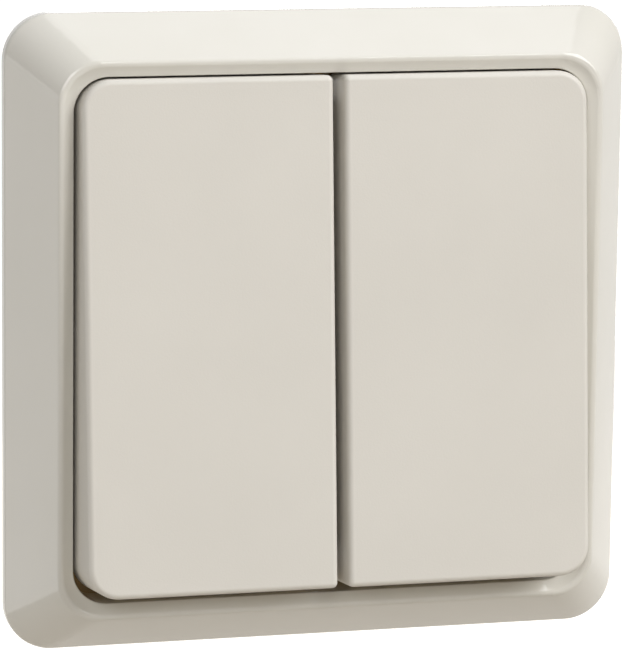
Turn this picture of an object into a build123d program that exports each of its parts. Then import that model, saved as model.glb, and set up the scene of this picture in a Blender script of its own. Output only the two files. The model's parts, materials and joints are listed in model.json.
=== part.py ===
from build123d import *
from math import cos, radians, sin, tan
import os

# Two-gang rocker light switch for a round wall box, in millimetres.
# X is to the viewer's right, +Y goes into the wall, +Z is up.
# The origin is the middle of the wall plane, on the cover frame's back rim.

# Cover frame
frame_size = 80.0
frame_corner_r = 6.0
frame_side_height = 1.5
frame_edge_round = 0.9
bevel_width = 5.3
bevel_height = 7.7
bevel_bulge = 0.12
crest_corner_r = 5.2
crest_land = 0.5
crest_round = 0.5
slope_width = 1.4
slope_drop = 1.1
opening_corner_r = 4.4
lip_round = 0.3
frame_side_wall = 2.0
frame_roof = 2.0
rim_wall = 1.6
frame_rib = 1.0
frame_rib_pitch = 16.0
frame_ribs_per_side = 4

# Support ring
ring_thickness = 1.0
ring_overlap = 1.1
ring_corner_r = 4.5
box_screw_pitch = 60.0
box_screw_hole_r = 1.7
box_screw_slot_length = 5.4
box_screw_head_r = 3.4
box_screw_head_room = 2.2
ring_tab_width = 8.0
ring_tab_thickness = 0.8
ring_tab_height = 2.8
ring_tab_spread = 32.0
ring_tab_bead_r = 0.4
bead_clearance = 0.1

# Rocker caps
rocker_tilt = 4.65
rocker_pivot_depth = 0.5
rocker_reach = 12.7
rocker_gap = 1.4
rocker_side_gap = 0.6
rocker_end_gap = 1.0
rocker_corner_r = 3.8
rocker_inner_corner_r = 0.7
rocker_edge_round = 0.7
rocker_face = 1.8
rocker_wall = 1.5
skirt_clearance = 0.3
cap_rib = 1.0
cap_rib_height = 1.4
clip_width = 8.0
clip_thickness = 1.2
clip_barb = 0.9
clip_clearance = 0.1

# Cradles, which carry the caps and turn in the switch cover
cradle_width = 12.6
cradle_height = 24.0
cradle_plate = 2.0
cradle_cheek = 1.6
cradle_side_gap = 0.3
cheek_foot_r = 2.6
cheek_top_height = 14.0
pin_r = 1.5
pin_length = 1.6
pin_clearance = 0.06
pin_end_gap = 0.2

# Plungers and their springs
plunger_r = 2.35
plunger_clearance = 0.1
plunger_tip_r = 1.6
plunger_reach = 11.5
plunger_top = 4.0
plunger_shoulder = 4.5
plunger_neck = 8.0
spigot_r = 1.2
spigot_length = 1.5
guide_wall = 0.75
guide_end = 3.0
spring_r = 1.75
spring_wire_r = 0.22
spring_turns = 5
spring_seat_gap = 0.05

# Switch cover, the front of the insert
bearing_wall_middle = 4.4
bearing_wall_outer = 2.8
cover_front = 3.0
plug_end = 2.0
plug_height = 33.6
plug_clearance = 0.2
plug_corner_r = 3.0
window_height = 16.0
cover_pocket_wall = 1.5

# Switch base, the tray in the wall box
base_seat = 1.6
base_height = 46.0
base_depth = 22.0
base_corner_r = 5.0
base_wall = 1.5
middle_wall = 2.0
cross_wall_z = 11.6
cross_wall = 1.2
rib_thickness = 1.0
fit_gap = 0.3

# Housing screws
housing_screw_x = 15.5
housing_screw_edge = 2.8
housing_screw_r = 1.2
housing_screw_head_r = 2.3
housing_screw_length = 15.0
housing_boss_r = 2.6
thread_clearance = 0.05
hole_clearance = 0.2

# See-saw contacts
strip_length = 19.0
strip_width = 6.0
strip_thickness = 1.0
strip_corner_r = 1.0
strip_tilt = 9.0
tip_mid_gap = 0.03
knuckle_r = 1.4
saddle_clearance = 0.06
saddle_width = 3.6
saddle_depth = 0.9
contact_end = 1.5
contact_r = 1.7
contact_thickness = 0.9
contact_tail_r = 0.8
contact_gap = 0.08
busbar_thickness = 1.0

# Terminals
terminal_plate_z = 13.0
terminal_plate_depth = 8.5
wire_hole_r = 1.4
wire_offset = 1.9
supply_bar_reach = 3.2
clamp_width = 5.0
clamp_thickness = 0.4
clamp_bend_r = 0.8
clamp_floor_gap = 0.9
clamp_back_length = 11.1
clamp_leg_depth = 6.0
release_width = 3.0
release_height = 1.2
release_z_gap = 2.9
release_reach = 2.3
release_shoulder = 0.8
release_shoulder_lip = 0.5
release_clearance = 0.15

# Claws and claw screws
claw_screw_x = 24.3
claw_screw_r = 1.5
claw_screw_head_r = 2.5
claw_screw_head = 1.8
claw_screw_head_round = 0.6
claw_screw_end = 19.0
claw_screw_point = 0.5
claw_pivot_out = 0.9
claw_pivot_y = 7.6
claw_barrel_r = 0.9
claw_thickness = 1.2
claw_width = 9.0
claw_leg = 11.0
claw_swing = 20.0
claw_tooth = 1.1
claw_notch_r = 1.8
claw_clearance = 0.1
claw_bracket_height = 10.6
recess_width = 0.7
recess_span = 2.1
recess_depth = 0.9

# Sizes worked out from the ones above
frame_half = frame_size / 2
crest_depth = frame_side_height + bevel_height
crest_outer = frame_half - bevel_width
crest_inner = crest_outer - crest_land
lip_depth = crest_depth - slope_drop
opening_half = crest_inner - slope_width
rim_outer = opening_half + rim_wall
rim_corner_r = opening_corner_r + rim_wall
ring_half = rim_outer + ring_overlap

tilt_sin = sin(radians(rocker_tilt))
tilt_cos = cos(radians(rocker_tilt))
pivot_y = -rocker_pivot_depth
face_y = pivot_y - rocker_reach
cap_back_y = face_y + rocker_face
cap_half_height = opening_half - rocker_end_gap
cap_inner_x = rocker_gap / 2
cap_outer_x = opening_half - rocker_side_gap
skirt_y = pivot_y - (ring_thickness + skirt_clearance - rocker_pivot_depth) / tilt_cos

window_inner_x = bearing_wall_middle / 2
gang_x = window_inner_x + cradle_side_gap + cradle_width / 2
window_outer_x = gang_x + cradle_width / 2 + cradle_side_gap
plug_half_x = window_outer_x + bearing_wall_outer
ring_opening_x = plug_half_x + plug_clearance
ring_opening_z = plug_height / 2 + plug_clearance
base_half_x = ring_opening_x + base_seat
base_half_z = base_height / 2
housing_screw_z = base_half_z - housing_screw_edge
base_inner_x = base_half_x - base_wall
base_inner_z = base_half_z - base_wall
floor_y = base_depth - base_wall

cradle_back_y = cap_back_y + cradle_plate
guide_r = plunger_r + plunger_clearance
contact_z = strip_length / 2 - contact_end
strip_y = pivot_y + plunger_reach + strip_thickness / 2 + tip_mid_gap
saddle_y = strip_y + saddle_depth
supply_bar_y = strip_y + knuckle_r + saddle_clearance + busbar_thickness
wire_z = terminal_plate_z + busbar_thickness / 2 + wire_offset
clamp_back_z = base_inner_z - fit_gap - clamp_thickness / 2
clamp_bend_y = floor_y - clamp_floor_gap
clamp_tip_z = terminal_plate_z + busbar_thickness / 2 + fit_gap + clamp_thickness / 2
release_z = wire_z + release_z_gap
claw_pivot_x = base_half_x + claw_pivot_out
claw_arm = claw_screw_x - claw_pivot_x


def rounded(half_x, half_z, radius):
    """Rounded rectangle in the wall plane."""
    return RectangleRounded(2 * half_x, 2 * half_z, radius)


def slab(outline, y0, y1):
    """Outline in the wall plane, extruded from y0 back to y1."""
    return extrude(Plane.XZ.offset(-y1) * outline, y1 - y0)


def profile(outline, x0, x1):
    """Outline in Y and Z, extruded along X."""
    return extrude(Plane.YZ.offset(x0) * outline, x1 - x0)


def block(x0, x1, y0, y1, z0, z1):
    """Box between two corners."""
    return Pos((x0 + x1) / 2, (y0 + y1) / 2, (z0 + z1) / 2) * Box(x1 - x0, y1 - y0, z1 - z0)


def rod_y(x, z, radius, y0, y1):
    """Round rod or hole along Y."""
    return slab(Pos(x, z) * Circle(radius), y0, y1)


def rod_x(y, z, radius, x0, x1):
    """Round rod or hole along X."""
    return profile(Pos(y, z) * Circle(radius), x0, x1)


def edges_at(solid, y, inside):
    """Edges at one depth that lie within a half-width of the middle."""
    level = solid.edges().filter_by_position(Axis.Y, y - 0.01, y + 0.01)
    return level.filter_by(lambda e: max(abs(e.center().X), abs(e.center().Z)) < inside)


def lean(solid, angle, y):
    """Turn about the X-parallel axis at depth y."""
    return solid.rotate(Axis((0, y, 0), (1, 0, 0)), angle)


def frame_shell():
    """Bevelled outer form, one smooth loft from the side wall to the crest."""
    side = slab(rounded(frame_half, frame_half, frame_corner_r), -frame_side_height, 0)
    middle = (frame_half + crest_outer) / 2 + bevel_bulge
    middle_r = (frame_corner_r + crest_corner_r) / 2
    sections = [
        Plane.XZ.offset(frame_side_height) * rounded(frame_half, frame_half, frame_corner_r),
        Plane.XZ.offset(frame_side_height + bevel_height / 2) * rounded(middle, middle, middle_r),
        Plane.XZ.offset(crest_depth) * rounded(crest_outer, crest_outer, crest_corner_r),
    ]
    shell = side + loft(sections)
    shell = fillet(edges_at(shell, -frame_side_height, frame_size), frame_edge_round)
    return fillet(edges_at(shell, -crest_depth, frame_size), crest_round)


def frame_funnel():
    """Space inside the crest: the inner slope and the straight opening below it."""
    sections = [
        Plane.XZ.offset(lip_depth) * rounded(opening_half, opening_half, opening_corner_r),
        Plane.XZ.offset(crest_depth) * rounded(crest_inner, crest_inner, crest_corner_r),
    ]
    opening = slab(rounded(opening_half, opening_half, opening_corner_r), -lip_depth, 0)
    return loft(sections, ruled=True) + opening


def frame_hollow():
    """Space behind the bevel, open at the wall and crossed by ribs."""
    base_half = frame_half - frame_side_wall
    top_half = rim_outer + ring_tab_bead_r
    hollow_r = frame_corner_r - frame_side_wall
    base_depth_front = frame_side_height - fit_gap
    sections = [
        Plane.XZ.offset(base_depth_front) * rounded(base_half, base_half, hollow_r),
        Plane.XZ.offset(crest_depth - frame_roof) * rounded(top_half, top_half, hollow_r),
    ]
    hollow = slab(rounded(base_half, base_half, hollow_r), -base_depth_front, 0)
    hollow += loft(sections, ruled=True)
    hollow -= slab(rounded(rim_outer, rim_outer, rim_corner_r), -crest_depth, 0)
    for i in range(frame_ribs_per_side):
        spot = (i - (frame_ribs_per_side - 1) / 2) * frame_rib_pitch
        half = frame_rib / 2
        front, back = -crest_depth, -ring_thickness - fit_gap
        hollow -= block(spot - half, spot + half, front, back, -frame_half, frame_half)
        hollow -= block(-frame_half, frame_half, front, back, spot - half, spot + half)
    return hollow


def cover_frame():
    """Square cover frame with its rim wall, ribs and snap grooves."""
    frame = frame_shell() - frame_funnel() - frame_hollow()
    frame = fillet(edges_at(frame, -crest_depth, frame_size), crest_round)
    frame = fillet(edges_at(frame, -lip_depth, frame_size), lip_round)
    frame -= slab(rounded(rim_outer, rim_outer, rim_corner_r), -ring_thickness, 0)
    bead_y = -ring_thickness - ring_tab_height / 2
    for side in (-1, 1):
        for z in (-ring_tab_spread / 2, ring_tab_spread / 2):
            groove = Cylinder(ring_tab_bead_r + bead_clearance, ring_tab_width + 2 * fit_gap)
            frame -= Pos(side * (rim_outer + bead_clearance), bead_y, z) * groove
    return frame


def support_ring():
    """Steel ring plate that screws to the wall box, with tabs that hold the frame."""
    ring = slab(rounded(ring_half, ring_half, ring_corner_r), -ring_thickness, 0)
    ring -= slab(rounded(ring_opening_x, ring_opening_z, plug_corner_r), -ring_thickness, 0)
    slot = SlotOverall(box_screw_slot_length, 2 * box_screw_hole_r)
    half_pitch = box_screw_pitch / 2
    for side in (-1, 1):
        ring -= slab(Pos(side * half_pitch, 0) * slot, -ring_thickness, 0)
        ring -= rod_y(0, side * half_pitch, box_screw_hole_r, -ring_thickness, 0)
        ring -= rod_y(side * claw_screw_x, 0, claw_screw_r + claw_clearance, -ring_thickness, 0)
        for z in (-housing_screw_z, housing_screw_z):
            hole_r = housing_screw_r + hole_clearance
            ring -= rod_y(side * housing_screw_x, z, hole_r, -ring_thickness, 0)
        for z in (-ring_tab_spread / 2, ring_tab_spread / 2):
            ring += ring_tab(side, z)
    return ring


def ring_tab(side, z):
    """Spring tab bent forward at the ring's edge, with a bead for the frame's groove."""
    inner = rim_outer + bead_clearance
    outer = inner + ring_tab_thickness
    front = -ring_thickness - ring_tab_height
    tab = block(inner, outer, front, -ring_thickness / 2, -ring_tab_width / 2, ring_tab_width / 2)
    bead = Pos(inner, (front - ring_thickness) / 2, 0) * Cylinder(ring_tab_bead_r, ring_tab_width)
    tab += bead
    if side < 0:
        tab = tab.rotate(Axis.Y, 180)
    return Pos(0, 0, z) * tab


def cap_outline(grow):
    """Outline of the right cap, seen from the front, grown or shrunk."""
    width = cap_outer_x - cap_inner_x + 2 * grow
    height = 2 * (cap_half_height + grow)
    outline = Pos((cap_inner_x + cap_outer_x) / 2, 0) * Rectangle(width, height)
    inner = outline.vertices().sort_by(Axis.X)[:2]
    outline = fillet(inner, max(rocker_inner_corner_r + grow, rocker_inner_corner_r / 2))
    outer = outline.vertices().sort_by(Axis.X)[-2:]
    return fillet(outer, rocker_corner_r + grow)


def rocker_cap():
    """Right cap before it is tilted: face, skirt, ribs and the clips for the cradle."""
    cap = slab(cap_outline(0), face_y, skirt_y)
    cap = fillet(edges_at(cap, face_y, frame_size), rocker_edge_round)
    cap -= slab(cap_outline(-rocker_wall), cap_back_y, skirt_y)
    cap -= profile(skirt_space(ring_thickness), 0, frame_half)
    screw_front = ring_thickness + box_screw_head_room
    cap -= profile(skirt_space(screw_front), 0, box_screw_head_r)
    notch_y = -screw_front - 2 * skirt_clearance
    cap -= block(box_screw_pitch / 2, frame_half, notch_y, 0, -box_screw_head_r, box_screw_head_r)
    inner_x = cap_inner_x + rocker_wall / 2
    outer_x = cap_outer_x - rocker_wall / 2
    reach_z = cap_half_height - rocker_wall / 2
    rib_y = cap_back_y + cap_rib_height
    rib_z = cradle_height / 2 + clip_thickness + cap_rib_height
    for z in (-rib_z, rib_z):
        cap += block(inner_x, outer_x, cap_back_y - cap_rib, rib_y, z, z + cap_rib)
    rib_x = gang_x + cradle_width / 2 + fit_gap
    cap += block(rib_x, rib_x + cap_rib, cap_back_y - cap_rib, rib_y, -reach_z, reach_z)
    for side in (-1, 1):
        cap += cap_clip(side)
    return cap


def skirt_space(front):
    """Space behind a skirt that clears a plane in both end positions."""
    near = front + skirt_clearance - rocker_pivot_depth
    middle_y = pivot_y - near / tilt_cos
    end_y = pivot_y - (near + frame_half * tilt_sin) / tilt_cos
    points = [
        (middle_y, 0),
        (end_y, frame_half),
        (0, frame_half),
        (0, -frame_half),
        (end_y, -frame_half),
    ]
    return make_face(Polyline(*points, close=True))


def cap_clip(side):
    """Clip leg with a barb that hooks behind the cradle's plate."""
    near = cradle_height / 2 + clip_clearance
    far = near + clip_thickness
    barb_y = cradle_back_y + clip_clearance / 2
    end_y = barb_y + clip_barb
    points = [
        (cap_back_y - cap_rib, near),
        (barb_y, near),
        (barb_y, near - clip_barb),
        (end_y, near),
        (end_y, far),
        (cap_back_y - cap_rib, far),
    ]
    leg = make_face(Polyline(*[(y, side * z) for y, z in points], close=True))
    return profile(leg, gang_x - clip_width / 2, gang_x + clip_width / 2)


def cradle():
    """Right cradle before it is tilted: plate, cheeks, pivot pins and plunger guide."""
    half = cradle_width / 2
    end = cradle_height / 2
    body = block(gang_x - half, gang_x + half, cap_back_y, cradle_back_y, -end, end)
    top = cheek_top_height / 2
    cheek_points = [
        (cradle_back_y - cradle_plate / 2, -top),
        (cradle_back_y, -top),
        (pivot_y, -cheek_foot_r),
        (pivot_y, cheek_foot_r),
        (cradle_back_y, top),
        (cradle_back_y - cradle_plate / 2, top),
    ]
    cheek = make_face(Polyline(*cheek_points, close=True)) + Pos(pivot_y, 0) * Circle(cheek_foot_r)
    for side in (-1, 1):
        outer = gang_x + side * half
        inner = outer - side * cradle_cheek
        body += profile(cheek, min(inner, outer), max(inner, outer))
        tip = outer + side * pin_length
        body += rod_x(pivot_y, 0, pin_r, min(outer, tip), max(outer, tip))
    guide_y = pivot_y + guide_end
    inside = half - cradle_cheek / 2
    body += block(gang_x - inside, gang_x + inside, cradle_back_y - cradle_plate / 2,
                  pivot_y - cheek_foot_r, -rib_thickness / 2, rib_thickness / 2)
    body += rod_y(gang_x, 0, guide_r + guide_wall, cradle_back_y - cradle_plate / 2, guide_y)
    return body - rod_y(gang_x, 0, guide_r, cradle_back_y, guide_y)


def plunger():
    """Right plunger before it is tilted: spring spigot, shaft, neck and rounded tip."""
    top = pivot_y - plunger_top
    tip = pivot_y + plunger_reach
    points = [
        (0, tip - plunger_tip_r),
        (0, top - spigot_length),
        (spigot_r, top - spigot_length),
        (spigot_r, top),
        (plunger_r, top),
        (plunger_r, pivot_y + plunger_shoulder),
        (plunger_tip_r, pivot_y + plunger_neck),
        (plunger_tip_r, tip - plunger_tip_r),
    ]
    half_section = make_face(Polyline(*points, close=True))
    ball = Sphere(plunger_tip_r)
    shaft = revolve(half_section, Axis.Y)
    return Pos(gang_x, 0, 0) * (shaft + Pos(0, tip - plunger_tip_r, 0) * ball)


def plunger_spring():
    """Coil spring between the cradle's plate and the plunger, before it is tilted."""
    start = cradle_back_y + spring_wire_r + spring_seat_gap
    end = pivot_y - plunger_top - spring_wire_r - spring_seat_gap
    height = end - start
    path = Helix(height / spring_turns, height, spring_r)
    wire = Plane(origin=path @ 0, z_dir=path % 0) * RegularPolygon(spring_wire_r, 6)
    coil = sweep(wire, path=path, is_frenet=True)
    return Pos(gang_x, start, 0) * coil.rotate(Axis.X, -90)


def switch_cover():
    """Front of the insert: flange on the ring, plug through it, bearings and windows."""
    plug_half_z = plug_height / 2
    cover = slab(rounded(base_half_x, base_half_z, base_corner_r), -cover_front, -ring_thickness)
    cover += slab(rounded(plug_half_x, plug_half_z, plug_corner_r), -ring_thickness - fit_gap, plug_end)
    window_z = window_height / 2
    bore_depth = pin_length + pin_end_gap
    bore_r = pin_r + pin_clearance
    pocket_z0 = window_z + cover_pocket_wall
    pocket_z1 = plug_half_z - cover_pocket_wall
    for side in (-1, 1):
        x0, x1 = sorted((side * window_inner_x, side * window_outer_x))
        cover -= block(x0, x1, -cover_front, plug_end, -window_z, window_z)
        b0, b1 = sorted((side * (window_inner_x - bore_depth + cradle_side_gap), side * window_inner_x))
        cover -= rod_x(pivot_y, 0, bore_r, b0, b1)
        b0, b1 = sorted((side * window_outer_x, side * (window_outer_x + bore_depth - cradle_side_gap)))
        cover -= rod_x(pivot_y, 0, bore_r, b0, b1)
        for z in (-1, 1):
            z0, z1 = sorted((z * pocket_z0, z * pocket_z1))
            cover -= block(x0, x1, -ring_thickness, plug_end, z0, z1)
            cover -= screw_space(side * housing_screw_x, z * housing_screw_z)
    return cover


def screw_space(x, z):
    """Countersunk hole for one housing screw."""
    hole = rod_y(x, z, housing_screw_r + hole_clearance, -cover_front, -ring_thickness)
    return hole + screw_cone(x, z, hole_clearance)


def screw_cone(x, z, grow):
    """Countersunk head, or its seat when grown."""
    depth = housing_screw_head_r - housing_screw_r
    sections = [
        Plane.XZ.offset(cover_front) * Pos(x, z) * Circle(housing_screw_head_r + grow),
        Plane.XZ.offset(cover_front - depth) * Pos(x, z) * Circle(housing_screw_r + grow),
    ]
    return loft(sections, ruled=True)


def cross_recess(x, z, front):
    """Cross-shaped driver recess cut into a screw head that faces the viewer."""
    arm = recess_span / 2
    half = recess_width / 2
    back = front + recess_depth
    across = block(x - arm, x + arm, front, back, z - half, z + half)
    return across + block(x - half, x + half, front, back, z - arm, z + arm)


def housing_screws():
    """The four screws that clamp the cover, the ring and the base together."""
    screws = []
    for x in (-housing_screw_x, housing_screw_x):
        for z in (-housing_screw_z, housing_screw_z):
            front = -cover_front
            screw = screw_cone(x, z, 0) + rod_y(x, z, housing_screw_r, front, front + housing_screw_length)
            screws.append(screw - cross_recess(x, z, front))
    return Compound(children=screws)


def switch_base():
    """Tray that holds the contacts and terminals, with walls, ribs and wire entries."""
    base = slab(rounded(base_half_x, base_half_z, base_corner_r), 0, base_depth)
    base -= slab(rounded(base_inner_x, base_inner_z, base_corner_r - base_wall), 0, floor_y)
    wall_front = plug_end + fit_gap
    middle = middle_wall / 2
    base += block(-middle, middle, wall_front, floor_y, -base_inner_z, base_inner_z)
    cross_gap = supply_bar_reach + fit_gap
    for side in (-1, 1):
        x0, x1 = sorted((side * cross_gap, side * base_inner_x))
        for z in (-1, 1):
            z0, z1 = sorted((z * (cross_wall_z - cross_wall / 2), z * (cross_wall_z + cross_wall / 2)))
            base += block(x0, x1, wall_front, floor_y, z0, z1)
            base = base + housing_boss(side, z)
            base -= rod_y(side * gang_x, z * wire_z, wire_hole_r, floor_y, base_depth)
            base -= release_slot(side, z)
        base = base + claw_bracket(side) - claw_groove(side)
        base += contact_ribs(side)
        base -= load_bar_window(side)
    return base - supply_bar_space() + saddle_rib()


def housing_boss(side, z):
    """Boss for one housing screw, in a corner of the tray."""
    x = side * housing_screw_x
    z = z * housing_screw_z
    end = housing_screw_length - cover_front
    boss = rod_y(x, z, housing_boss_r, 0, end + base_wall)
    inside = rounded(base_inner_x + fit_gap, base_inner_z + fit_gap, base_corner_r - base_wall)
    boss = boss & slab(inside, 0, floor_y)
    return boss - rod_y(x, z, housing_screw_r + thread_clearance, 0, end + fit_gap)


def release_slot(side, z):
    """Hole in the tray's floor for one release button."""
    x = side * gang_x
    half_x = release_width / 2 + release_clearance
    half_z = release_height / 2 + release_clearance
    z = z * release_z
    return block(x - half_x, x + half_x, floor_y, base_depth, z - half_z, z + half_z)


def claw_bracket(side):
    """Block on the tray's side that carries the claw's barrel."""
    x0, x1 = sorted((side * (base_half_x - base_wall / 2), side * claw_pivot_x))
    reach = claw_barrel_r + base_wall
    half = claw_bracket_height / 2
    return block(x0, x1, claw_pivot_y - reach, claw_pivot_y + reach, -half, half)


def claw_groove(side):
    """Half-round groove that the claw's barrel turns in."""
    groove = Cylinder(claw_barrel_r + claw_clearance, claw_bracket_height)
    return Pos(side * claw_pivot_x, claw_pivot_y, 0) * groove


def contact_ribs(side):
    """Ribs on the floor: one under the load bar, one that stops the open see-saw."""
    x0, x1 = side * gang_x - strip_width / 2, side * gang_x + strip_width / 2
    half = rib_thickness / 2
    load_y, load_z = load_bar_end()
    ribs = block(x0, x1, load_y + busbar_thickness / 2, floor_y, load_z - half, load_z + half)
    stop_sin, stop_cos = sin(radians(strip_tilt)), cos(radians(strip_tilt))
    stop_y = strip_y + strip_thickness / 2 * stop_cos + (contact_z + half) * stop_sin + contact_gap
    return ribs + block(x0, x1, stop_y, floor_y, contact_z - half, contact_z + half)


def load_bar_end():
    """Middle of the load bar's section where its tilted tab meets its flat run."""
    tilt = radians(strip_tilt)
    y = strip_thickness / 2 + 2 * contact_thickness + contact_gap + busbar_thickness / 2
    z = -(contact_z + contact_r)
    return strip_y + y * cos(tilt) - z * sin(tilt), y * sin(tilt) + z * cos(tilt)


def load_bar_window(side):
    """Passage for a load bar through the lower cross wall."""
    load_y = load_bar_end()[0]
    half_x = strip_width / 2 + fit_gap
    half_y = busbar_thickness / 2 + fit_gap
    x = side * gang_x
    z0 = -cross_wall_z - cross_wall / 2
    return block(x - half_x, x + half_x, load_y - half_y, load_y + half_y, z0, z0 + cross_wall)


def supply_bar_space():
    """Notch in the middle wall for the supply bar, its branch and its plate."""
    half = saddle_width / 2 + fit_gap
    plate_half = busbar_thickness / 2 + fit_gap
    middle = middle_wall / 2
    branch = block(-middle, middle, saddle_y - fit_gap, supply_bar_y + fit_gap, -half, terminal_plate_z)
    plate = block(-middle, middle, saddle_y - fit_gap, floor_y,
                  terminal_plate_z - plate_half, terminal_plate_z + plate_half)
    return branch + plate


def saddle_rib():
    """Rib under the supply bar, across both chambers."""
    reach = gang_x + strip_width / 2
    return block(-reach, reach, supply_bar_y, floor_y, -rib_thickness / 2, rib_thickness / 2)


def supply_busbar():
    """Brass bar that both see-saws rock on, with its branch and its clamping plate."""
    reach = gang_x + strip_width / 2
    bar = block(-reach, reach, saddle_y, supply_bar_y, -saddle_width / 2, saddle_width / 2)
    bar -= rod_x(strip_y, 0, knuckle_r + saddle_clearance, -reach, reach)
    branch_y = supply_bar_y - busbar_thickness
    bar += block(-supply_bar_reach, supply_bar_reach, branch_y, supply_bar_y, 0, terminal_plate_z)
    z0 = terminal_plate_z - busbar_thickness / 2
    return bar + block(-reach, reach, branch_y, floor_y, z0, z0 + busbar_thickness)


def load_busbar():
    """Right load bar: tilted contact tab, flat run and clamping plate."""
    tilt_y = strip_thickness / 2 + 2 * contact_thickness + contact_gap
    x0, x1 = gang_x - strip_width / 2, gang_x + strip_width / 2
    tab = block(x0, x1, strip_y + tilt_y, strip_y + tilt_y + busbar_thickness,
                -contact_z - contact_r, -contact_z + contact_r)
    tab -= rod_y(gang_x, -contact_z, contact_tail_r + thread_clearance,
                 strip_y + tilt_y, strip_y + tilt_y + busbar_thickness)
    bar = lean(tab, strip_tilt, strip_y)
    load_y, load_z = load_bar_end()
    half = busbar_thickness / 2
    plate_z = -terminal_plate_z
    bar += block(x0, x1, load_y - half, load_y + half, plate_z, load_z + half)
    return bar + block(x0, x1, floor_y - terminal_plate_depth, floor_y, plate_z - half, plate_z + half)


def fixed_contact():
    """Right fixed contact rivet in the load bar's tab."""
    face = strip_y + strip_thickness / 2 + contact_thickness + contact_gap
    head = rod_y(gang_x, -contact_z, contact_r, face, face + contact_thickness)
    tail_end = face + contact_thickness + busbar_thickness
    rivet = head + rod_y(gang_x, -contact_z, contact_tail_r, face, tail_end)
    return lean(rivet, strip_tilt, strip_y)


def seesaw():
    """Right see-saw contact strip with the knuckle that it rocks on."""
    half = strip_width / 2
    end = strip_length / 2
    front_y, back_y = strip_y - strip_thickness / 2, strip_y + strip_thickness / 2
    strip = block(gang_x - half, gang_x + half, front_y, back_y, -end, end)
    strip = fillet(strip.edges().filter_by(Axis.Y), strip_corner_r)
    knuckle = rod_x(strip_y, 0, knuckle_r, gang_x - half, gang_x + half)
    front = block(gang_x - half, gang_x + half, front_y - knuckle_r, strip_y, -knuckle_r, knuckle_r)
    strip += knuckle - front
    strip -= rod_y(gang_x, -contact_z, contact_tail_r + thread_clearance, front_y, back_y)
    return lean(strip, strip_tilt, strip_y)


def moving_contact():
    """Right moving contact rivet, through the see-saw's closing end."""
    back = strip_y + strip_thickness / 2
    front = strip_y - strip_thickness / 2
    rivet = rod_y(gang_x, -contact_z, contact_r, back, back + contact_thickness)
    rivet += rod_y(gang_x, -contact_z, contact_tail_r, front, back)
    rivet += rod_y(gang_x, -contact_z, contact_tail_r + fit_gap, front - fit_gap, front)
    return lean(rivet, strip_tilt, strip_y)


def clamp_spring(side):
    """Bent leaf that presses the wire on the clamping plate, above or below."""
    tip = (clamp_bend_y - clamp_leg_depth, side * clamp_tip_z)
    bend = (clamp_bend_y, side * clamp_back_z)
    start = (clamp_bend_y - clamp_back_length, side * clamp_back_z)
    line = FilletPolyline(start, bend, tip, radius=clamp_bend_r)
    leaf = trace(line, clamp_thickness)
    return profile(leaf, gang_x - clamp_width / 2, gang_x + clamp_width / 2)


def release_button(side):
    """Button in the floor that lifts the clamp spring, above or below."""
    z = side * release_z
    half_x = release_width / 2
    half_z = release_height / 2
    lip = release_shoulder_lip
    shoulder_y = floor_y - release_clearance
    stem_y, end_y = floor_y - release_reach, base_depth - release_clearance
    stem = block(gang_x - half_x, gang_x + half_x, stem_y, end_y, z - half_z, z + half_z)
    stem -= block(gang_x - half_x / 2, gang_x + half_x / 2, base_depth - recess_depth, base_depth,
                  z - half_z / 2, z + half_z / 2)
    return stem + block(gang_x - half_x - lip, gang_x + half_x + lip, shoulder_y - release_shoulder,
                        shoulder_y, z - half_z - lip / 2, z + half_z + lip / 2)


def claw():
    """Right claw: barrel, slotted arm and a leg with two teeth."""
    swing = radians(claw_swing)
    half = claw_thickness / 2
    slot_in = claw_arm - claw_screw_r - fit_gap
    slot_out = (claw_arm + claw_screw_r) / cos(swing) + half * tan(swing) + hole_clearance
    leg_x = claw_pivot_x + slot_out + fit_gap
    half_z = claw_width / 2
    body = Pos(claw_pivot_x, claw_pivot_y, 0) * Cylinder(claw_barrel_r, claw_width)
    body += block(claw_pivot_x, leg_x + half, claw_pivot_y - half, claw_pivot_y + half, -half_z, half_z)
    slot_r = claw_screw_r + claw_clearance
    slot = Pos(claw_pivot_x + (slot_in + slot_out) / 2, 0) * Rectangle(slot_out - slot_in, 2 * slot_r)
    body -= slab(slot, claw_pivot_y - half, claw_pivot_y + half)
    end_y = claw_pivot_y - half + claw_leg
    leg = make_face(Polyline(
        (leg_x, claw_pivot_y - half),
        (leg_x + claw_thickness, claw_pivot_y - half),
        (leg_x + claw_thickness, end_y - claw_thickness),
        (leg_x + claw_thickness + claw_tooth, end_y),
        (leg_x, end_y),
        close=True,
    ))
    body += extrude(Plane.XY.offset(-half_z) * leg, claw_width)
    notch = Cylinder(claw_notch_r, 2 * claw_thickness, rotation=(0, 90, 0))
    return body - Pos(leg_x + claw_thickness, end_y, 0) * notch


def claw_screw():
    """Right claw screw: pan head on the ring and a shank through the claw."""
    seat = -ring_thickness - thread_clearance
    front = seat - claw_screw_head
    screw = rod_y(claw_screw_x, 0, claw_screw_head_r, front, seat)
    screw = fillet(edges_at(screw, front, frame_size), claw_screw_head_round)
    screw += rod_y(claw_screw_x, 0, claw_screw_r, seat, claw_screw_end)
    screw = chamfer(edges_at(screw, claw_screw_end, frame_size), claw_screw_point)
    return screw - cross_recess(claw_screw_x, 0, front)


def write(name, solid):
    """Save one piece as its own file."""
    export_step(solid, os.path.join("parts", name + ".step"))


def write_pair(name, right):
    """Save a piece of the right gang and its mirror image in the left one."""
    write("right_" + name, right)
    write("left_" + name, mirror(right, about=Plane.YZ))


os.makedirs("parts", exist_ok=True)

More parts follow.
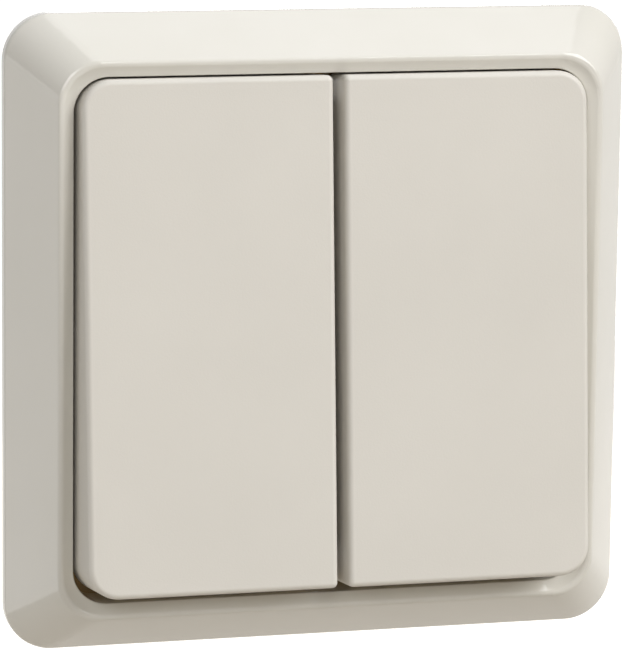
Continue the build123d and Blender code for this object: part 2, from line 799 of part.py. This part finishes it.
write("cover_frame", cover_frame())
write("support_ring", support_ring())
write("switch_cover", switch_cover())
write("switch_base", switch_base())
write("housing_screws", housing_screws())
write("supply_busbar", supply_busbar())
write_pair("rocker", lean(rocker_cap(), -rocker_tilt, pivot_y))
write_pair("cradle", lean(cradle(), -rocker_tilt, pivot_y))
write_pair("plunger", lean(plunger(), -rocker_tilt, pivot_y))
write_pair("plunger_spring", lean(plunger_spring(), -rocker_tilt, pivot_y))
write_pair("seesaw", seesaw())
write_pair("moving_contact", moving_contact())
write_pair("fixed_contact", fixed_contact())
write_pair("load_busbar", load_busbar())
write_pair("supply_clamp_spring", clamp_spring(1))
write_pair("load_clamp_spring", clamp_spring(-1))
write_pair("supply_release", release_button(1))
write_pair("load_release", release_button(-1))
write_pair("claw", claw())
write_pair("claw_screw", claw_screw())
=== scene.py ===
import json
import math

import bpy
from mathutils import Matrix, Vector


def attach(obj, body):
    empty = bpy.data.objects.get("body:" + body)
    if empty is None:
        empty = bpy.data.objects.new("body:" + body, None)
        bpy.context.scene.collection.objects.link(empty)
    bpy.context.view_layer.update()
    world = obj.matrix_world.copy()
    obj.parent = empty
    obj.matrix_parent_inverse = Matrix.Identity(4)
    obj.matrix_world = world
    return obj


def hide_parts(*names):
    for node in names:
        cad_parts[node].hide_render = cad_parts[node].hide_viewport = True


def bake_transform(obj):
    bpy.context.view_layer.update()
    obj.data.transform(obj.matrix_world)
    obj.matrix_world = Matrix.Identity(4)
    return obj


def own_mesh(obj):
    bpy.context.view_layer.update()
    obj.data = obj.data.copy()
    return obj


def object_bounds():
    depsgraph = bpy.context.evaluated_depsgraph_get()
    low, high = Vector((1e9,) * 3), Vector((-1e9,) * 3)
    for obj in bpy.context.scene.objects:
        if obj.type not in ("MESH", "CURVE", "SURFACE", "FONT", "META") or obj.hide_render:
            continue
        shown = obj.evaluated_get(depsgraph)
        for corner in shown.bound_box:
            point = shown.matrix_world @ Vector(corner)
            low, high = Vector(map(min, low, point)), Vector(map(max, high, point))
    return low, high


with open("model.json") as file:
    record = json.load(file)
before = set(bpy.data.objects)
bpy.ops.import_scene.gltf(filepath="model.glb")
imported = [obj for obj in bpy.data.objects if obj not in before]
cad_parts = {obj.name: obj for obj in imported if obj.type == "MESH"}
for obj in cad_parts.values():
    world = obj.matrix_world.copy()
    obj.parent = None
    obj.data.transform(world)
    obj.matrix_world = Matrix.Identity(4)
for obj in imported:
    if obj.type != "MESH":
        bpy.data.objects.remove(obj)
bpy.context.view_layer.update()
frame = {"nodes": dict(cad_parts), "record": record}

MM = 0.001
NODES = frame["nodes"]
SLOTS = {part["node"]: part["material_slot"] for part in frame["record"]["subparts"]}
FORWARD = Vector((0, -1, 0))

# Camera in degrees, metres and mm of lens, worked out from the frame's corners in the photograph
CAMERA_AZIMUTH = -15.503
CAMERA_ELEVATION = 10.023
CAMERA_ROLL = 0.682
CAMERA_DISTANCE = 0.516
CAMERA_LENS = 224.0
CAMERA_SHIFT = (-0.0021, -0.0072)
CAMERA_NEAR = 0.01

# Inner slope and opening of the cover frame, in mm; ease and draft are rises per mm
OPENING_HALF = 32.8
OPENING_CORNER = 4.4
LIP_DEPTH = 8.1
LIP_BAND_DEPTH = 7.5
SLOPE_END = 1.4
SLOPE_ROUND = 0.17
SLOPE_EASE = 0.39
WALL_DRAFT = 0.07
WALL_TOLERANCE = 0.05
MERGE_DISTANCE = 0.001 * MM

# Outline of a cap before it is tilted, in mm, and the draft of its outer side and lower end
CAP_OUTER = 32.2
CAP_INNER = 0.7
CAP_HALF_HEIGHT = 31.8
CAP_CORNER = 3.8
CAP_INNER_CORNER = 0.7
CAP_WALL_START = -12.5
CAP_WALL_TOLERANCE = 0.02
CAP_DEPTH_TOLERANCE = 0.01
CAP_DRAFT = 0.035
# The pin a cap turns on, and the turns from its rest pose to upright and back
CAP_PIVOT = Vector((0, -0.5, 0))
CAP_UPRIGHT = Matrix.Rotation(math.radians(4.65), 3, "X")
CAP_TILTED = CAP_UPRIGHT.transposed()

# A normal faces a direction when this much of it points there
FACING = 0.9

# Terminals on each side, each of which holds a clamp spring
CLAMP_SIDES = {"supply": 1, "load": -1}

# Finishes: the span of a noise's usual values, and how far a metal's lines are drawn out
NOISE_SPAN = {"From Min": 0.3, "From Max": 0.7}
LINE_STRETCH = 12
# Sockets of the mix node, whose names repeat: the factor, then two inputs and the output
MIX_FACTOR = 0
MIX_NUMBERS = (2, 3, 0)
MIX_COLOURS = (6, 7, 2)

# Studio: sizes in metres; the paper's own white by how far out it is, and the light from
# around by how far up it comes
WHITE = (1, 1, 1, 1)
FLOOR_DROP = 0.22
FLOOR_SIZE = 8.0
FLOOR_COLOUR = "#AFA697"
FLOOR_LIFT = {"From Min": 0.25, "From Max": 0.75, "To Min": 0.8, "To Max": 1.0}
SKY_LIGHT = {"From Min": 0.55, "From Max": 0.95, "To Min": 0.035, "To Max": 0.43}
# Softboxes: name, place in metres, width and height in metres, radiance where 1 is white
SOFTBOXES = (
    ("key_left", (-0.48, -1.05, 0.45), (0.6, 0.6), 4.0),
    ("key_right", (0.80, -0.82, 0.75), (0.9, 0.9), 6.0),
    ("panel_side", (-0.48, 0.07, -0.08), (0.30, 0.36), 1.4),
    ("strip_above", (0.20, 0.12, 0.98), (1.0, 0.5), 1.4),
    ("back_fill", (0.35, 1.15, -0.02), (0.9, 0.4), 4.0),
)


def linear(hex_colour):
    """An sRGB hex colour as linear red, green, blue and alpha."""
    values = [int(hex_colour[i:i + 2], 16) / 255 for i in (1, 3, 5)]
    steps = [v / 12.92 if v <= 0.04045 else ((v + 0.055) / 1.055) ** 2.4 for v in values]
    return (*steps, 1.0)


def add_node(tree, kind, values=None, links=None, **settings):
    """Adds a node with its settings, socket values and incoming links."""
    node = tree.nodes.new(kind)
    for key, value in settings.items():
        setattr(node, key, value)
    for key, value in (values or {}).items():
        node.inputs[key].default_value = value
    for key, source in (links or {}).items():
        tree.links.new(source, node.inputs[key])
    return node


def patterned(name, constants, shades, gloss, cloud, wear, relief=None, stretch=(1, 1, 1)):
    """A material whose colour, roughness and relief follow noises on object coordinates.

    Constants are values of the shader's sockets, shades two hex colours, and gloss two values
    of roughness. Cloud, wear and relief are the size of a noise in mm and its detail, and
    relief has a depth in mm too. Stretch draws out wear and relief.
    """
    material = bpy.data.materials.new(name)
    material.use_nodes = True
    tree = material.node_tree
    tree.nodes.clear()
    place = add_node(tree, "ShaderNodeTexCoord").outputs["Object"]
    drawn = add_node(tree, "ShaderNodeMapping", {"Scale": stretch}, {"Vector": place})
    drawn = drawn.outputs["Vector"]

    tone = add_node(
        tree, "ShaderNodeTexNoise", {"Scale": 1 / (cloud[0] * MM), "Detail": cloud[1]},
        {"Vector": place},
    )
    share = add_node(tree, "ShaderNodeMapRange", NOISE_SPAN, {"Value": tone.outputs["Fac"]})
    first, second, mixed = MIX_COLOURS
    colour = add_node(
        tree, "ShaderNodeMix", {first: linear(shades[0]), second: linear(shades[1])},
        {MIX_FACTOR: share.outputs["Result"]}, data_type="RGBA",
    )
    grain = add_node(
        tree, "ShaderNodeTexNoise", {"Scale": 1 / (wear[0] * MM), "Detail": wear[1]},
        {"Vector": drawn},
    )
    roughness = add_node(
        tree, "ShaderNodeMapRange", {**NOISE_SPAN, "To Min": gloss[0], "To Max": gloss[1]},
        {"Value": grain.outputs["Fac"]},
    )
    shader = add_node(
        tree, "ShaderNodeBsdfPrincipled", constants,
        {"Base Color": colour.outputs[mixed], "Roughness": roughness.outputs["Result"]},
    )
    if relief:
        size_mm, detail, depth_mm = relief
        waves = add_node(
            tree, "ShaderNodeTexNoise", {"Scale": 1 / (size_mm * MM), "Detail": detail},
            {"Vector": drawn},
        )
        height = add_node(
            tree, "ShaderNodeBump", {"Strength": 1.0, "Distance": depth_mm * MM},
            {"Height": waves.outputs["Fac"]},
        )
        tree.links.new(height.outputs["Normal"], shader.inputs["Normal"])
    add_node(tree, "ShaderNodeOutputMaterial", links={"Surface": shader.outputs["BSDF"]})
    return material


def frame_plastic():
    # Thermoplastic from a polished mould: a clear gloss over cream white, with very faint waves
    return patterned(
        "polished_asa_cream", {"IOR": 1.5}, shades=("#DCD9D1", "#D9D6CD"), gloss=(0.08, 0.13),
        cloud=(14.0, 2), wear=(3.0, 4), relief=(2.5, 1, 0.004),
    )


def rocker_plastic():
    # Thermoplastic from a spark-eroded mould: satin, with a fine grain that is drawn a fifth of
    # a millimetre wide, to show
    return patterned(
        "eroded_asa_cream", {"IOR": 1.5}, shades=("#D9D5CD", "#D6D2CA"), gloss=(0.42, 0.5),
        cloud=(18.0, 2), wear=(0.22, 2), relief=(0.22, 2, 0.012),
    )


def insert_plastic():
    # Pressed thermoset: dull light grey with a mineral filler that shows as fine specks
    return patterned(
        "pressed_urea_grey", {"IOR": 1.55}, shades=("#C9C8C1", "#BDBCB4"), gloss=(0.38, 0.5),
        cloud=(0.35, 3), wear=(0.35, 3), relief=(0.35, 3, 0.008),
    )


def cradle_plastic():
    # Acetal, moulded: milky white and slightly waxy
    return patterned(
        "moulded_acetal_white", {"IOR": 1.48}, shades=("#EDECE6", "#E6E5DE"), gloss=(0.3, 0.38),
        cloud=(4.0, 2), wear=(4.0, 2),
    )


def release_plastic():
    # Polyamide, moulded: orange, so that an installer finds the release buttons
    return patterned(
        "moulded_polyamide_orange", {}, shades=("#D9772B", "#CF6C22"), gloss=(0.35, 0.45),
        cloud=(1.0, 2), wear=(1.0, 2),
    )


def rolled_metal(name, shades, gloss, grain_mm=0.25):
    """Rolled or drawn metal: lines along the strip, drawn wide enough to show, and a cloud."""
    lines = (grain_mm * LINE_STRETCH, 3)
    return patterned(
        name, {"Metallic": 1.0}, shades, gloss, cloud=(9.0, 2), wear=lines,
        relief=(*lines, 0.003), stretch=(LINE_STRETCH, LINE_STRETCH, 1),
    )


def zinc_plated_steel():
    # Rolled steel sheet, zinc plated and yellow chromated: a dull, slightly cloudy brownish
    # shine.
    # The brown of the chromate is real; its darkness is partly painted shade, so the ring stays
    # dark where it shows in the gaps
    return rolled_metal("chromated_sheet_darkened_as_shade", ("#957C56", "#876D49"), (0.34, 0.48))


def screw_steel():
    # Zinc-plated turned steel: silvery, brighter and smoother than the sheet
    return rolled_metal("zinc_plated_screw", ("#CDCDC8", "#BDBDB6"), (0.2, 0.32), grain_mm=0.12)


def spring_steel():
    # Cold-rolled spring steel: darker and smoother than the screws
    return rolled_metal("bright_spring_steel", ("#A9ABAE", "#9C9EA2"), (0.16, 0.26), grain_mm=0.1)


def brass_strip():
    # Stamped brass strip, lightly tarnished towards brown
    return rolled_metal("stamped_brass", ("#D9B564", "#C49B4C"), (0.22, 0.36))


def silver_contact():
    # Silver alloy rivet: turned, pale and a little dull
    return rolled_metal("silver_rivet", ("#DCDAD4", "#CFCDC6"), (0.25, 0.35), grain_mm=0.08)


def dress_nodes():
    """Gives every CAD node the material of what it is made of."""
    makers = {
        "frame_plastic": frame_plastic,
        "rocker_plastic": rocker_plastic,
        "insert_plastic": insert_plastic,
        "cradle_plastic": cradle_plastic,
        "release_plastic": release_plastic,
        "zinc_plated_steel": zinc_plated_steel,
        "screw_steel": screw_steel,
        "spring_steel": spring_steel,
        "brass_strip": brass_strip,
        "silver_contact": silver_contact,
    }
    finishes = {name: maker() for name, maker in makers.items()}
    for node, finish in SLOTS.items():
        for slot in NODES[node].material_slots:
            slot.material = finishes[finish]


def from_outline(x, z, half_width, half_height, corner):
    """Distance outside a rounded rectangle, and how far the way out goes sideways and along."""
    across, along = abs(x) - (half_width - corner), abs(z) - (half_height - corner)
    if across > 0 and along > 0:
        reach = math.hypot(across, along)
        return reach - corner, across / reach, along / reach
    if across > along:
        return across - corner, 1, 0
    return along - corner, 0, 1


def from_opening(x, z):
    """Distance outside the outline of the frame's opening, and the way out, in mm."""
    distance, sideways, along = from_outline(x, z, OPENING_HALF, OPENING_HALF, OPENING_CORNER)
    return distance, Vector((math.copysign(sideways, x), 0, math.copysign(along, z)))


def slope_rise(distance):
    """How far forward the inner slope comes at a distance from the opening, and how steeply."""
    if distance < 0:
        return SLOPE_EASE * SLOPE_END, 0.0
    if distance < SLOPE_END - SLOPE_ROUND:
        return SLOPE_EASE * (SLOPE_END - distance), SLOPE_EASE
    left = (SLOPE_END + SLOPE_ROUND - distance) / (2 * SLOPE_ROUND)
    return SLOPE_EASE * SLOPE_ROUND * left * left, SLOPE_EASE * left


def flattened(place, normal):
    """A corner of the frame's mesh in mm and its normal, with a flat slope and drafted wall."""
    distance, out = from_opening(place.x, place.z)
    forward = place.y < -LIP_BAND_DEPTH
    on_wall = abs(distance) < WALL_TOLERANCE
    if on_wall and normal.dot(out) < -FACING:
        normal = (normal - FORWARD * WALL_DRAFT).normalized()
    if forward and -WALL_TOLERANCE < distance < SLOPE_END + SLOPE_ROUND:
        rise, ease = slope_rise(distance)
        return place + FORWARD * rise, (normal - out * ease * normal.y).normalized()
    if not forward and on_wall:
        return place + out * WALL_DRAFT * (place.y + LIP_DEPTH), normal
    return place, normal


def stand_in(node):
    """A merged copy of a CAD node's mesh, with its normals, that stands for the node."""
    bpy.ops.object.select_all(action="DESELECT")
    piece = bpy.data.objects.new(f"{node}_piece", NODES[node].data.copy())
    bpy.context.scene.collection.objects.link(piece)
    piece.select_set(True)
    bpy.context.view_layer.objects.active = piece
    mesh = piece.data
    # Merging can drop thin triangles, so the normals are carried along as an attribute
    kept = mesh.attributes.new("kept_normal", "FLOAT_VECTOR", "CORNER")
    for item, corner in zip(kept.data, mesh.corner_normals):
        item.vector = corner.vector
    bpy.ops.object.mode_set(mode="EDIT")
    bpy.ops.mesh.select_all(action="SELECT")
    bpy.ops.mesh.remove_doubles(threshold=MERGE_DISTANCE)
    bpy.ops.object.mode_set(mode="OBJECT")
    kept = mesh.attributes["kept_normal"]
    normals = [item.vector.copy() for item in kept.data]
    mesh.attributes.remove(kept)
    mesh.normals_split_custom_set(normals)
    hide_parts(node)
    return piece


def move_corners(piece, rule):
    """Moves a piece's vertices and turns its normals by a rule that takes and gives both."""
    mesh = piece.data
    places = [vertex.co / MM for vertex in mesh.vertices]
    normals = [
        rule(places[loop.vertex_index], corner.vector.copy())[1]
        for loop, corner in zip(mesh.loops, mesh.corner_normals)
    ]
    for vertex, place in zip(mesh.vertices, places):
        vertex.co = rule(place, FORWARD)[0] * MM
    mesh.normals_split_custom_set(normals)


def flatten_slope():
    """Cover frame with a flatter inner slope and a drafted opening, in place of the CAD node."""
    shell = stand_in("cover_frame")
    move_corners(shell, flattened)
    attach(shell, "root")


def from_cap(x, z):
    """Distance outside a cap's outline in mm, and the way out at its outer side and lower end."""
    middle = (CAP_OUTER + CAP_INNER) / 2
    from_middle = abs(x) - middle
    corner = CAP_CORNER if from_middle > 0 else CAP_INNER_CORNER
    distance, sideways, along = from_outline(
        from_middle, z, CAP_OUTER - middle, CAP_HALF_HEIGHT, corner
    )
    outward = sideways if from_middle > 0 else 0
    downward = along if z < 0 else 0
    return distance, Vector((math.copysign(outward, x), 0, -downward))


def drafted(place, normal):
    """A corner of a cap's mesh in mm and its normal, with the outer walls drafted."""
    upright = CAP_UPRIGHT @ (place - CAP_PIVOT) + CAP_PIVOT
    distance, out = from_cap(upright.x, upright.z)
    depth = upright.y - CAP_WALL_START
    if abs(distance) > CAP_WALL_TOLERANCE or depth < -CAP_DEPTH_TOLERANCE:
        return place, normal
    if (CAP_UPRIGHT @ normal).dot(out) > FACING:
        normal = (normal + CAP_TILTED @ FORWARD * CAP_DRAFT).normalized()
    return place + CAP_TILTED @ out * CAP_DRAFT * max(depth, 0), normal


def draft_cap(side):
    """Rocker cap with drafted outer walls, in place of the CAD node."""
    cap = stand_in(f"{side}_rocker")
    move_corners(cap, drafted)
    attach(cap, f"{side}_rocker_body")


def compress_plunger_spring(side):
    """Coil spring of a plunger, as a copy that moves with the rocker cap."""
    coil = stand_in(f"{side}_plunger_spring")
    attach(coil, f"{side}_rocker_body")
    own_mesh(coil)


def bend_clamp_spring(side, terminal):
    """Leaf of a screwless terminal, as a merged copy in place of the CAD node, fixed where it
    stands.
    """
    leaf = stand_in(f"{side}_{terminal}_clamp_spring")
    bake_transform(leaf)


def white_for_camera(tree):
    """1 for rays from the camera, from gloss or through glass, and 0 for light."""
    path = add_node(tree, "ShaderNodeLightPath")
    seen = path.outputs["Is Camera Ray"]
    for kind in ("Is Glossy Ray", "Is Transmission Ray"):
        seen = add_node(
            tree, "ShaderNodeMath", links={0: seen, 1: path.outputs[kind]}, operation="MAXIMUM"
        ).outputs["Value"]
    return seen


def set_world():
    """Soft white surroundings: light mostly from overhead, plain white where they are seen."""
    world = bpy.data.worlds.new("studio")
    world.use_nodes = True
    bpy.context.scene.world = world
    tree = world.node_tree
    tree.nodes.clear()
    place = add_node(tree, "ShaderNodeTexCoord")
    toward = add_node(tree, "ShaderNodeSeparateXYZ", links={"Vector": place.outputs["Generated"]})
    light = add_node(tree, "ShaderNodeMapRange", SKY_LIGHT, {"Value": toward.outputs["Z"]})
    light_in, white_in, mixed = MIX_NUMBERS
    level = add_node(
        tree, "ShaderNodeMix", {white_in: 1.0},
        {MIX_FACTOR: white_for_camera(tree), light_in: light.outputs["Result"]},
    )
    background = add_node(
        tree, "ShaderNodeBackground", {"Color": WHITE}, {"Strength": level.outputs[mixed]}
    )
    add_node(tree, "ShaderNodeOutputWorld", links={"Surface": background.outputs["Background"]})


def floor_paper():
    # Matt paper: warm grey to the lamps, and its own light makes it white but for the shadow
    material = bpy.data.materials.new("white_paper")
    material.use_nodes = True
    tree = material.node_tree
    tree.nodes.clear()
    paper = add_node(tree, "ShaderNodeBsdfDiffuse", {"Color": linear(FLOOR_COLOUR)})
    place = add_node(tree, "ShaderNodeTexCoord")
    away = add_node(
        tree, "ShaderNodeVectorMath", links={"Vector": place.outputs["Object"]},
        operation="LENGTH",
    )
    fade = add_node(tree, "ShaderNodeMapRange", FLOOR_LIFT, {"Value": away.outputs["Value"]})
    strength = add_node(
        tree, "ShaderNodeMath", links={0: white_for_camera(tree), 1: fade.outputs["Result"]},
        operation="MULTIPLY",
    )
    lift = add_node(
        tree, "ShaderNodeEmission", {"Color": WHITE}, {"Strength": strength.outputs["Value"]}
    )
    both = add_node(
        tree, "ShaderNodeAddShader",
        links={0: paper.outputs["BSDF"], 1: lift.outputs["Emission"]},
    )
    add_node(tree, "ShaderNodeOutputMaterial", links={"Surface": both.outputs["Shader"]})
    return material


def set_floor():
    """Pale floor below the switch, white to the camera but for the shadow."""
    bpy.ops.object.select_all(action="DESELECT")
    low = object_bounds()[0][2]
    bpy.ops.mesh.primitive_plane_add(size=FLOOR_SIZE, location=(0, 0, low - FLOOR_DROP))
    floor = bpy.context.object
    floor.name = "floor"
    bpy.ops.object.transform_apply(location=True)
    floor.data.materials.append(floor_paper())


def add_softbox(name, place, size, radiance):
    """Rectangular area light that looks at the switch."""
    lamp = bpy.data.lights.new(name, "AREA")
    lamp.shape = "RECTANGLE"
    lamp.size, lamp.size_y = size
    lamp.energy = math.pi * size[0] * size[1] * radiance
    light = bpy.data.objects.new(name, lamp)
    light.location = place
    light.rotation_euler = (-Vector(place)).to_track_quat("-Z", "Y").to_euler()
    bpy.context.scene.collection.objects.link(light)


def set_camera():
    """Camera at the photograph's viewing angle."""
    azimuth, elevation = math.radians(CAMERA_AZIMUTH), math.radians(CAMERA_ELEVATION)
    back = Vector((
        math.sin(azimuth) * math.cos(elevation),
        -math.cos(azimuth) * math.cos(elevation),
        math.sin(elevation),
    ))
    right = (-back).cross(Vector((0, 0, 1))).normalized()
    up = right.cross(-back)
    roll = Matrix.Rotation(math.radians(CAMERA_ROLL), 4, "Z")
    turn = Matrix((right, up, back)).transposed().to_4x4() @ roll
    lens = bpy.data.cameras.new("camera")
    lens.lens = CAMERA_LENS
    lens.shift_x, lens.shift_y = CAMERA_SHIFT
    lens.clip_start = CAMERA_NEAR
    camera = bpy.data.objects.new("camera", lens)
    camera.matrix_world = Matrix.Translation(back * CAMERA_DISTANCE) @ turn
    bpy.context.scene.collection.objects.link(camera)
    bpy.context.scene.camera = camera


bpy.context.scene.view_settings.view_transform = "Standard"
set_camera()
set_world()
set_floor()
for softbox in SOFTBOXES:
    add_softbox(*softbox)
dress_nodes()
flatten_slope()
for side in ("left", "right"):
    draft_cap(side)
    compress_plunger_spring(side)
    for terminal in CLAMP_SIDES:
        bend_clamp_spring(side, terminal)
